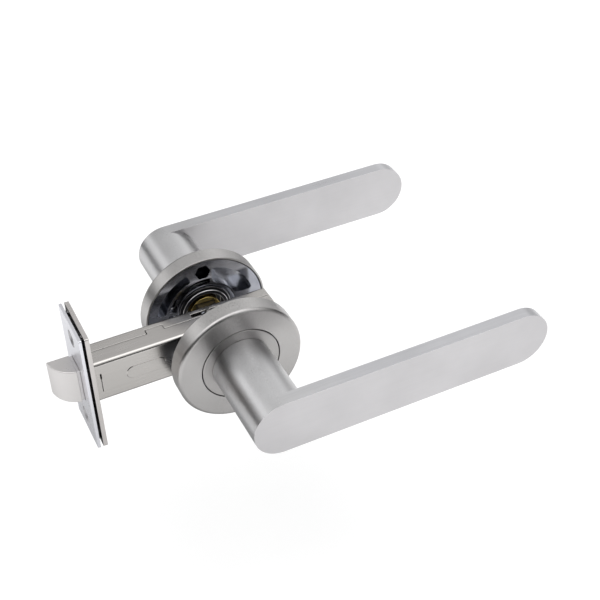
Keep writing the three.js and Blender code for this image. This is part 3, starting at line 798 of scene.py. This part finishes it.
def latch_bolt():
    """The bolt, with a curved bevel, a slightly smaller shank, and a socket for its tail."""
    low, high = span("latch_bolt")
    start = Vector((BOLT_HEAD_END, low.y))
    end = Vector((low.x, high.y - BEVEL_LAND))
    chord = (end - start).normalized()
    pull = (start + end) / 2 + Vector((-chord.y, chord.x)) * 2 * BEVEL_BULGE
    curve = []
    for step in range(BEVEL_STEPS + 1):
        t = step / BEVEL_STEPS
        curve.append(start * (1 - t) ** 2 + pull * 2 * t * (1 - t) + end * t ** 2)
    outline = [Vector((BOLT_HEAD_END, high.y)), Vector((low.x, high.y))] + curve[::-1]
    head = soften(prism(outline, "z", low.z, high.z), 0.3, 3)
    ys = (low.y + BOLT_STEP, high.y - BOLT_STEP)
    zs = (low.z + BOLT_STEP, high.z - BOLT_STEP)
    shank = soften(block((BOLT_HEAD_END - 1, high.x), ys, zs), 0.25)
    socket = prism(circle((0, 0), SOCKET, 48), "x", high.x - 6, high.x + 1)
    bolt = combined(head, [shank], [socket])
    fixed_piece("bolt_head", "latch_bolt", bolt, BOLT_STEEL)


def bolt_tail():
    low, high = span("bolt_tail")
    radius, length = TAIL_HEAD
    outline = rounded([
        (0, low.x, 0), (TAIL_RADIUS, low.x, 0.3), (TAIL_RADIUS, high.x - length, 0),
        (radius, high.x - length, 0.15), (radius, high.x, 0.35), (0, high.x, 0),
    ])
    fixed_piece("tail_rod", "bolt_tail", turned(outline, "x", SMALL_ROUND), SPRING_STEEL)


def tail_washer():
    low, high = span("tail_washer")
    outline = rounded([
        (SOCKET, low.x, 0.1), (high.y, low.x, 0.2), (high.y, high.x, 0.2), (SOCKET, high.x, 0.1),
    ])
    fixed_piece("tail_disc", "tail_washer", turned(outline, "x", SMALL_ROUND), SPRING_STEEL)


def coil(name, node, turns):
    """A coil spring about X, as long as its node."""
    low, high = span(node)
    radius = (high.z - low.z) / 2
    thickness = WIRE_RADII[node]
    steps = turns * STEPS_PER_TURN
    path = []
    for step in range(steps + 1):
        across, up = turn(radius - thickness, 360 * turns * step / steps)
        along = low.x + thickness + (high.x - low.x - 2 * thickness) * step / steps
        path.append(Vector((along, across, up)))
    piece = add_piece(name, node, wire(path, thickness), SPRING_STEEL)
    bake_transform(piece)


FINGER = (-5.25, 9.093, 1.0)  # its tip's centre, and the tip's radius
FINGER_ROOT = 3.0
FINGER_Y = (2.3, 3.7)
SQUARE_HOLE = 4.3  # half its width


def square_hole(start, end):
    outline = rectangle((-SQUARE_HOLE, -SQUARE_HOLE), (SQUARE_HOLE, SQUARE_HOLE), 0.4)
    return prism(outline, "y", min(start, end), max(start, end))


def latch_hub():
    low, high = span("latch_hub")
    barrel = prism(circle((0, 0), HUB_HOLE - CLEARANCE, ROUND), "y", low.y, high.y)
    x, z, tip = FINGER
    fingers = []
    for side in (-1, 1):
        for up in (-1, 1):
            crown = [(u, up * v) for u, v in arc((x, z), tip, 0, 180, 16)]
            outline = [(x - tip, up * FINGER_ROOT), (x + tip, up * FINGER_ROOT), *crown]
            fingers.append(prism(outline, "y", side * FINGER_Y[0], side * FINGER_Y[1]))
    hub = combined(barrel, fingers, [square_hole(low.y - 1, high.y + 1)])
    fixed_piece("hub_casting", "latch_hub", soften(hub, 0.2, 2), ZINC)


def spindle():
    low, high = span("spindle")
    outline = rectangle((low.x, low.z), (high.x, high.z), 0.5)
    bar = soften(prism(outline, "y", low.y, high.y), 0.5, 3, above=50)
    fixed_piece("square_spindle", "spindle", bar, BLACK_STEEL_AND_SHADE)


# -------------------------------- trims

SHANK_RADIUS = 10.3  # of the levers' shanks, which turn in the trims
ROSE_WALL = 0.8
ROSE_EDGE = 1.5
HOLE_CLEARANCE = 0.35
PLATE_FLOOR = 19.9
PLATE_BORE = 12.4
CHAMBER = (13.3, 16.5, 79, 181)  # narrow and wide radius, and the wide part's angles
KIDNEY = (14.2, 21.6, 3.8, 4.5)  # inner and outer radius, and distances from the two ribs
ARC_SLOT = (17.8, 21.8, 108, 168)
HEX_POCKET = (6.0, 20.2, 18.2)  # across flats, distance from the spindle, floor
MOUNT_SCREW = 2.2
# HEX_REACH and SHADED_BELOW mark the faces that get the screw pockets' painted shade.
HEX_REACH = 0.65  # a pocket's corners lie within this share of its width
SHADED_BELOW = 0.3  # how far inside a pocket its dark tone starts
POCKET_EASE = 2.0
SLOT_EASE = 0.8


def rose_cover(trim, side):
    """The satin cup: rounded front edge, thin rim, and a softly broken edge round its hole."""
    node = f"{trim}_rose_cover"
    back, front = reach(node)
    radius = span(node)[1].x
    hole = span(f"{trim}_lever_collar")[1].x + HOLE_CLEARANCE
    inner = radius - ROSE_WALL
    outline = rounded([
        (inner, side * back, 0.15), (radius, side * back, 0.25),
        (radius, side * front, ROSE_EDGE), (hole, side * front, 0.25),
        (hole, side * (front - ROSE_WALL), 0.1),
        (inner, side * (front - ROSE_WALL), ROSE_EDGE - ROSE_WALL),
    ], steps=8)
    fixed_piece(f"{trim}_rose_shell", node, turned(outline), ROSE_SATIN)


def both_ways(outline):
    """An outline, and the same half a turn round."""
    return outline, [-spot for spot in outline]


def plate_pockets():
    """Outlines of a mounting plate's chamber, and of its kidney pockets and slots in pairs."""
    inner, outer, rib_x, rib_z = KIDNEY
    ends = [math.degrees(angle) for angle in (
        math.asin(rib_z / outer), math.acos(rib_x / outer),
        math.asin(rib_z / inner), math.acos(rib_x / inner),
    )]
    narrow, wide, wide_start, wide_end = CHAMBER
    return [
        circle((0, 0), narrow, ROUND),
        *both_ways(sector(PLATE_BORE - 1, wide, wide_start, wide_end)),
        *both_ways(eased(sector(inner, outer, *ends), POCKET_EASE)),
        *both_ways(eased(sector(*ARC_SLOT), SLOT_EASE)),
    ]


def mounting_plate(trim, side):
    """The die-cast plate, with its pockets open at the back and filleted all over."""
    node = f"{trim}_mounting_plate"
    back, front = reach(node)
    radius = span(node)[1].x
    mouth, bottom = side * (back - 1), side * PLATE_FLOOR
    cuts = [prism(outline, "y", mouth, bottom) for outline in plate_pockets()]
    flats, offset, hex_floor = HEX_POCKET
    for z in (-offset, offset):
        cuts.append(prism(hexagon((0, z), flats), "y", mouth, side * hex_floor))
        cuts.append(prism(circle((0, z), MOUNT_SCREW, 48), "y", mouth, side * (front + 1)))
    plate = combined(plain_ring(PLATE_BORE, radius, side * back, side * front), cuts=cuts)
    soften(plate, 0.3, 3)

    def finish_of(face):
        spot = face.center / MM
        from_screw = math.hypot(spot.x, abs(spot.z) - offset)
        # Faces deep in a screw pocket get painted shade.
        if from_screw < flats * HEX_REACH and abs(spot.y) > back + SHADED_BELOW:
            return POCKET_SHADE_ZINC
        # The floors of the kidney pockets get a painted highlight.
        on_floor = abs(abs(spot.y) - PLATE_FLOOR) < TINY
        in_kidney = spot.x * spot.z > 0 and math.hypot(spot.x, spot.z) > KIDNEY[0]
        return KIDNEY_HIGHLIGHT_ZINC if on_floor and in_kidney else PLATE_ZINC[trim]

    finishes = [PLATE_ZINC[trim], POCKET_SHADE_ZINC, KIDNEY_HIGHLIGHT_ZINC]
    painted_piece(f"{trim}_plate_casting", node, plate, finishes, finish_of)


def bearing_bush(trim, side):
    node = f"{trim}_bearing_bush"
    near, far = reach(node)
    outer = span(node)[1].x
    inner = SHANK_RADIUS + CLEARANCE
    corners = [(inner, near), (outer, near), (outer, far), (inner, far)]
    outline = rounded([(radius, side * along, 0.15) for radius, along in corners], 3)
    fixed_piece(f"{trim}_bearing_ring", node, turned(outline), NYLON)


RETURN_SPRING = (12.0, 0.4, 165.0, 100.0)  # coil radius, wire radius, first and last angle
SPRING_LEG = (13.2, 15.3)  # where each leg bends outwards, and its tip
SPRING_STEPS = 90
LEG_STEPS = 3  # steps of the coil that each leg's bend takes up


def corners_cut(path):
    """A path between the same ends, with each corner replaced by two flatter ones."""
    cut = [path[0]]
    for start, end in zip(path, path[1:]):
        cut += [start.lerp(end, 0.25), start.lerp(end, 0.75)]
    return [*cut, path[-1]]


def return_spring(trim, side):
    """The torsion spring, with a leg bent outwards at each end of its coil."""
    node = f"{trim}_return_spring"
    radius, thickness, first, last = RETURN_SPRING
    near, far = reach(node)
    near, far = near + thickness, far - thickness
    bend, tip = SPRING_LEG
    sweep = 360 + first - last
    coil_steps = range(LEG_STEPS, SPRING_STEPS - LEG_STEPS + 1)
    spots = [(tip, 0), (bend, 0)]
    spots += [(radius, step / SPRING_STEPS) for step in coil_steps]
    spots += [(bend, 1), (tip, 1)]
    path = []
    for distance, t in spots:
        u, v = turn(distance, first - sweep * t)
        path.append(Vector((u, side * (near + (far - near) * t), v)))
    shape = wire(corners_cut(corners_cut(path)), thickness, 10)
    piece = add_piece(f"{trim}_torsion_spring", node, shape, SPRING_STEEL)
    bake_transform(piece)


# -------------------------------- levers

COLLAR_BORE = 6.9
GROOVE_RADIUS = 9.0
SHANK_RECESS = (8.6, 19.0)  # radius, and where it ends
NECK_BORE_END = 30.0
NECK_SQUARE_END = 47.0
NECK_TENON = 1.2  # how far the neck is let into the bar
UNDERCUT_WIDTH = 0.45
UNDERCUT_START = 0.64  # cosine of the angle, from +X, where the joint line starts
UNDERCUT_SHIFTS = {"outside": 0.5, "inside": 1.5}  # depth of the joint line inside the elbow
SCREW_REACH = 26.0
SCREW_HOLE = 2.8
THREAD_PITCH = 0.8
THREAD_DEPTH = 0.3
GRUB_SOCKET = 2.5  # across flats, and its depth
BAR_EDGE = 0.6


def lever_collar(trim, side):
    """The disc in the rose's hole, with its shank, groove and recess behind."""
    node = f"{trim}_lever_collar"
    end, front = reach(node)
    radius = span(node)[1].x
    back = reach(f"{trim}_rose_cover")[1] - ROSE_WALL
    clip_near, clip_far = reach(f"{trim}_circlip")
    groove_near, groove_far = clip_near - CLEARANCE, clip_far + CLEARANCE
    recess, recess_end = SHANK_RECESS
    corners = [
        (COLLAR_BORE, front, 0.2), (radius, front, 0.35), (radius, back, 0.1),
        (SHANK_RADIUS, back, 0.15), (SHANK_RADIUS, groove_far, 0.1),
        (GROOVE_RADIUS, groove_far, 0.1), (GROOVE_RADIUS, groove_near, 0.1),
        (SHANK_RADIUS, groove_near, 0.1), (SHANK_RADIUS, end, 0.35),
        (recess, end, 0.2), (recess, recess_end, 0.2), (COLLAR_BORE, recess_end, 0.1),
    ]
    outline = rounded([(r, side * along, corner) for r, along, corner in corners], 4)

    def finish_of(face):
        # Faces inside the rose are painted dark as shade, and their broken edges get a painted
        # highlight.
        if abs(face.center.y) / MM > back - TINY:
            return COLLAR_SATIN
        return EDGE_HIGHLIGHT_STEEL if is_slanted(face) else BLACK_STEEL_AND_SHADE

    finishes = [COLLAR_SATIN, BLACK_STEEL_AND_SHADE, EDGE_HIGHLIGHT_STEEL]
    painted_piece(f"{trim}_lever_rosette", node, turned(outline), finishes, finish_of)


def lever_neck(trim, side):
    """The round neck: flush with the bar outside the elbow, with a joint line inside it."""
    node = f"{trim}_lever_neck"
    start = reach(f"{trim}_lever_collar")[1] + 0.05
    bar_back = reach(f"{trim}_lever_bar")[0]
    radius = span(f"{trim}_lever_bar")[1].z
    corners = [
        (COLLAR_BORE, start, 0.1), (radius, start, 0.3), (radius, bar_back + NECK_TENON, 0),
        (0, bar_back + NECK_TENON, 0), (0, NECK_BORE_END, 0), (COLLAR_BORE, NECK_BORE_END, 0),
    ]
    tube = turned(rounded([(r, side * along, corner) for r, along, corner in corners], 5))
    hole = prism(circle((0, side * SCREW_REACH), SCREW_HOLE), "z", -radius - 1, 1 - COLLAR_BORE)
    shift = UNDERCUT_SHIFTS[trim]
    inner = radius + UNDERCUT_START * shift
    undercut_start = side * (bar_back - UNDERCUT_WIDTH)
    undercut = moved(plain_ring(inner, radius + 3, undercut_start, side * bar_back), x=-shift)
    square = square_hole(side * (NECK_BORE_END - 1), side * NECK_SQUARE_END)
    neck = combined(tube, cuts=[square, hole, undercut])
    fixed_piece(f"{trim}_neck_tube", node, neck, NECK_SATIN)


def lever_bar(trim, side):
    """The flat bar: finely broken edges, except where the neck runs into it."""
    node = f"{trim}_lever_bar"
    low, high = span(node)
    radius = high.z
    back = side * reach(node)[0]
    blade = prism(stadium(0, high.x - radius, radius), "y", low.y, high.y)

    def is_free(edge):
        return any(abs(v.co.y - back) > TINY or v.co.x > 1 for v in edge.verts)

    soften(blade, BAR_EDGE, 3, chosen=is_free)

    def finish_of(face):
        if abs(face.normal.y) > FLAT_FACE:
            return BAR_SATIN
        # Broken edges get a painted highlight.
        if is_slanted(face):
            return EDGE_HIGHLIGHT_SATIN
        return NECK_SATIN if face.center.x < 0 else WALL_SATIN

    finishes = [BAR_SATIN, EDGE_HIGHLIGHT_SATIN, NECK_SATIN, WALL_SATIN]
    painted_piece(f"{trim}_bar_blade", node, blade, finishes, finish_of)


CAM_RADIUS = 12.4
CAM_THICKNESS = 1.0
LUG = (13.1, 15.8, 18.3, 172, 3)  # inner and outer radius, reach, angle and half its width
CIRCLIP = (9.3, 11.5, -75, 255)


def spring_cam(trim, side):
    node = f"{trim}_spring_cam"
    near, _ = reach(node)
    ring_far = near + CAM_THICKNESS
    inner, outer, end, angle, half = LUG
    ring = plain_ring(SHANK_RADIUS + CLEARANCE, CAM_RADIUS, side * near, side * ring_far)
    arm = prism(sector(CAM_RADIUS - 0.6, outer, angle - half, angle + half), "y",
                side * near, side * ring_far)
    hook = prism(sector(inner, outer, angle - half, angle + half), "y", side * near, side * end)
    cam = soften(combined(ring, [arm, hook]), 0.12, 2)
    fixed_piece(f"{trim}_cam_ring", node, cam, ZINC)


def circlip(trim, side):
    node = f"{trim}_circlip"
    near, far = reach(node)
    clip = soften(prism(sector(*CIRCLIP), "y", side * near, side * far), 0.25, 2)

    def finish_of(face):
        # Broken edges get a painted highlight; the rest is black steel.
        return EDGE_HIGHLIGHT_STEEL if is_slanted(face) else BLACK_STEEL_AND_SHADE

    painted_piece(f"{trim}_retaining_ring", node, clip, [BLACK_STEEL_AND_SHADE, EDGE_HIGHLIGHT_STEEL], finish_of)


def spindle_bush(trim, side):
    node = f"{trim}_spindle_bush"
    near, far = reach(node)
    radius = span(node)[1].x
    sleeve = prism(circle((0, 0), radius, 96), "y", side * near, side * far)
    sleeve = combined(sleeve, cuts=[square_hole(side * (near - 1), side * (far + 1))])
    fixed_piece(f"{trim}_spindle_sleeve", node, soften(sleeve, 0.2, 3), YELLOW_ZINC)


def grub_screw(trim, side):
    """The set screw, with its thread, drawn as rings, and its hexagon socket."""
    node = f"{trim}_grub_screw"
    low, high = span(node)
    radius = high.x
    root = radius - THREAD_DEPTH
    corners = [(0, low.z, 0), (root, low.z, 0.2)]
    along = low.z + THREAD_PITCH / 2
    while along + THREAD_PITCH < high.z:
        corners += [(radius, along, 0), (radius, along + 0.15, 0),
                    (root, along + THREAD_PITCH / 2, 0), (root, along + THREAD_PITCH - 0.1, 0)]
        along += THREAD_PITCH
    corners += [(root, high.z, 0.3), (0, high.z, 0)]
    screw = turned(rounded(corners, 3), "z", SMALL_ROUND)
    socket = prism(hexagon((0, 0), GRUB_SOCKET), "z", low.z - 1, low.z + GRUB_SOCKET)
    screw = moved(combined(screw, cuts=[socket]), y=side * SCREW_REACH)
    fixed_piece(f"{trim}_set_screw", node, screw, BLACK_STEEL_AND_SHADE)


front_faceplate()
backing_plate()
case_half("near", -1)
case_half("far", 1)
latch_bolt()
bolt_tail()
tail_washer()
coil("bolt_coil", "bolt_spring", 6)
coil("retractor_coil", "retractor_spring", 5)
latch_hub()
spindle()
fixed_piece("retractor_frame", "retractor", soften(copy_of("retractor"), 0.18, 2), CASE_STEEL)
for trim_name, trim_side in TRIMS.items():
    for make in (rose_cover, mounting_plate, bearing_bush, return_spring, lever_collar, lever_neck,
                 lever_bar, spring_cam, circlip, spindle_bush, grub_screw):
        make(trim_name, trim_side)


# -------------------------------- studio

# Azimuth from +X towards +Y, elevation and half width, all in degrees, and brightness
SOFT_LIGHTS = {
    "overhead": (0, 90, 40, 1.5),
    "left": (180, 55, 40, 1.6),
    "right": (0, 55, 40, 0.45),
    "right_front_high": (315, 55, 40, 0.7),
    "right_front_low": (315, 30, 40, 0.55),
    "back_right_high": (62, 42, 40, 0.65),
    "back_right_low": (44, 5, 40, 0.8),
    "back_left": (133, 32, 40, 0.55),
    "back_left_strip": (133, 21, 20, 0.9),
}
FLOOR_HALF = 0.9  # of its width, in metres
FLOOR_TONES = (0.72, 0.72, 0.72), (0.75, 0.75, 0.75)
FLOOR_GLOW = 0.34
# The floor's darker patch is a painted shadow under the part, which only reflections see.
SHADE_MIDDLE = (-0.03, 0.035)  # of the floor's darker patch
SHADE_SQUASH = 0.8  # the patch's width as a share of its length along Y
SHADE_REACH = (0.06, 0.18)  # where the patch starts to fade, and where it ends
SHADE_TONE = 0.35  # the patch's tone, as a share of the floor's
WHITE = (1, 1, 1)
BLACK = (0, 0, 0)


def seen_by_camera(graph):
    """1 where the camera looks straight at the floor or the room, and 0 for all other light."""
    return graph.node("LightPath", ()).outputs["Is Camera Ray"]


def floor():
    """A plain pale floor with a faint glow, low enough for the levers to swing down above it.

    Reflections see a painted shadow on it under the part; the camera itself sees it even.
    """
    level = -CAD_BOX[1][0]
    mesh = bpy.data.meshes.new("floor")
    outline = rectangle((-FLOOR_HALF, -FLOOR_HALF), (FLOOR_HALF, FLOOR_HALF))
    mesh.from_pydata([place("z", u, v, level) for u, v in outline], [], [range(len(outline))])
    piece = bpy.data.objects.new("floor", mesh)
    bpy.context.scene.collection.objects.link(piece)
    graph = Finish("pale_floor")
    colour = graph.blend(graph.noise(graph.point, 3, 2), *FLOOR_TONES)
    middle_x, middle_y = SHADE_MIDDLE
    right = graph.math("SUBTRACT", graph.x, middle_x)
    behind = graph.math("MULTIPLY", graph.math("SUBTRACT", graph.y, middle_y), SHADE_SQUASH)
    squares = graph.math("ADD", graph.math("POWER", right, 2), graph.math("POWER", behind, 2))
    distance = graph.math("SQRT", squares)
    shade = graph.spread(distance, *SHADE_REACH, SHADE_TONE, 1.0)
    shade = graph.math("MAXIMUM", shade, seen_by_camera(graph))
    mesh.materials.append(graph.surface(0.0, 0.8, graph.blend(shade, BLACK, colour)))
    graph.shade({
        "Specular IOR Level": 0.1,
        "Emission Color": (*WHITE, 1),
        "Emission Strength": graph.math("MULTIPLY", shade, FLOOR_GLOW),
    })


def surroundings():
    """A dark room lit by large round soft lights, far off; the camera itself sees white."""
    world = bpy.data.worlds.new("room")
    bpy.context.scene.world = world
    world.use_nodes = True
    graph = Graph(world.node_tree)
    direction = graph.node("TexCoord", ()).outputs["Generated"]
    total = 0.0
    for azimuth, elevation, half_width, brightness in SOFT_LIGHTS.values():
        across, up = turn(1, elevation)
        middle = (*turn(across, azimuth), up)
        towards = graph.node("VectorMath", (direction, middle), operation="DOT_PRODUCT")
        edge = math.cos(math.radians(half_width))
        light = graph.spread(towards.outputs["Value"], edge, 1.0, 0.0, brightness, "SMOOTHSTEP")
        total = graph.math("ADD", total, light)
    background = graph.nodes["Background"]
    graph.feed(background.inputs["Color"], graph.blend(seen_by_camera(graph), total, WHITE))
    graph.feed(background.inputs["Strength"], 1.0)


VIEW_AZIMUTH = -25.31  # degrees, from straight in front of the outside trim
VIEW_ELEVATION = 40.07
VIEW_ROLL = -1.4
VIEW_DISTANCE = 0.4753
FOCAL_SHARE = 1.9403  # focal length as a share of the picture's width
AIM_RIGHT = 0.0328  # how far the camera stands to the right of the origin's sight line
AIM_UP = 0.01257
SENSOR = 36.0


def camera():
    """The camera stands where the picture was taken from, with no shift and no blur."""
    azimuth, elevation, roll = map(math.radians, (VIEW_AZIMUTH, VIEW_ELEVATION, VIEW_ROLL))
    back = Vector((
        math.sin(azimuth) * math.cos(elevation),
        -math.cos(azimuth) * math.cos(elevation),
        math.sin(elevation),
    ))
    level = Vector((math.cos(azimuth), math.sin(azimuth), 0))
    upright = back.cross(level)
    right = math.cos(roll) * level + math.sin(roll) * upright
    up = math.cos(roll) * upright - math.sin(roll) * level
    data = bpy.data.cameras.new("camera")
    data.sensor_width = SENSOR
    data.lens = SENSOR * FOCAL_SHARE
    data.clip_start, data.clip_end = 0.01, 20
    eye = bpy.data.objects.new("camera", data)
    eye.rotation_euler = Matrix((right, up, back)).transposed().to_euler()
    eye.location = back * VIEW_DISTANCE + right * AIM_RIGHT + up * AIM_UP
    bpy.context.scene.collection.objects.link(eye)
    bpy.context.scene.camera = eye


floor()
surroundings()
camera()
bpy.context.scene.view_settings.view_transform = "Standard"
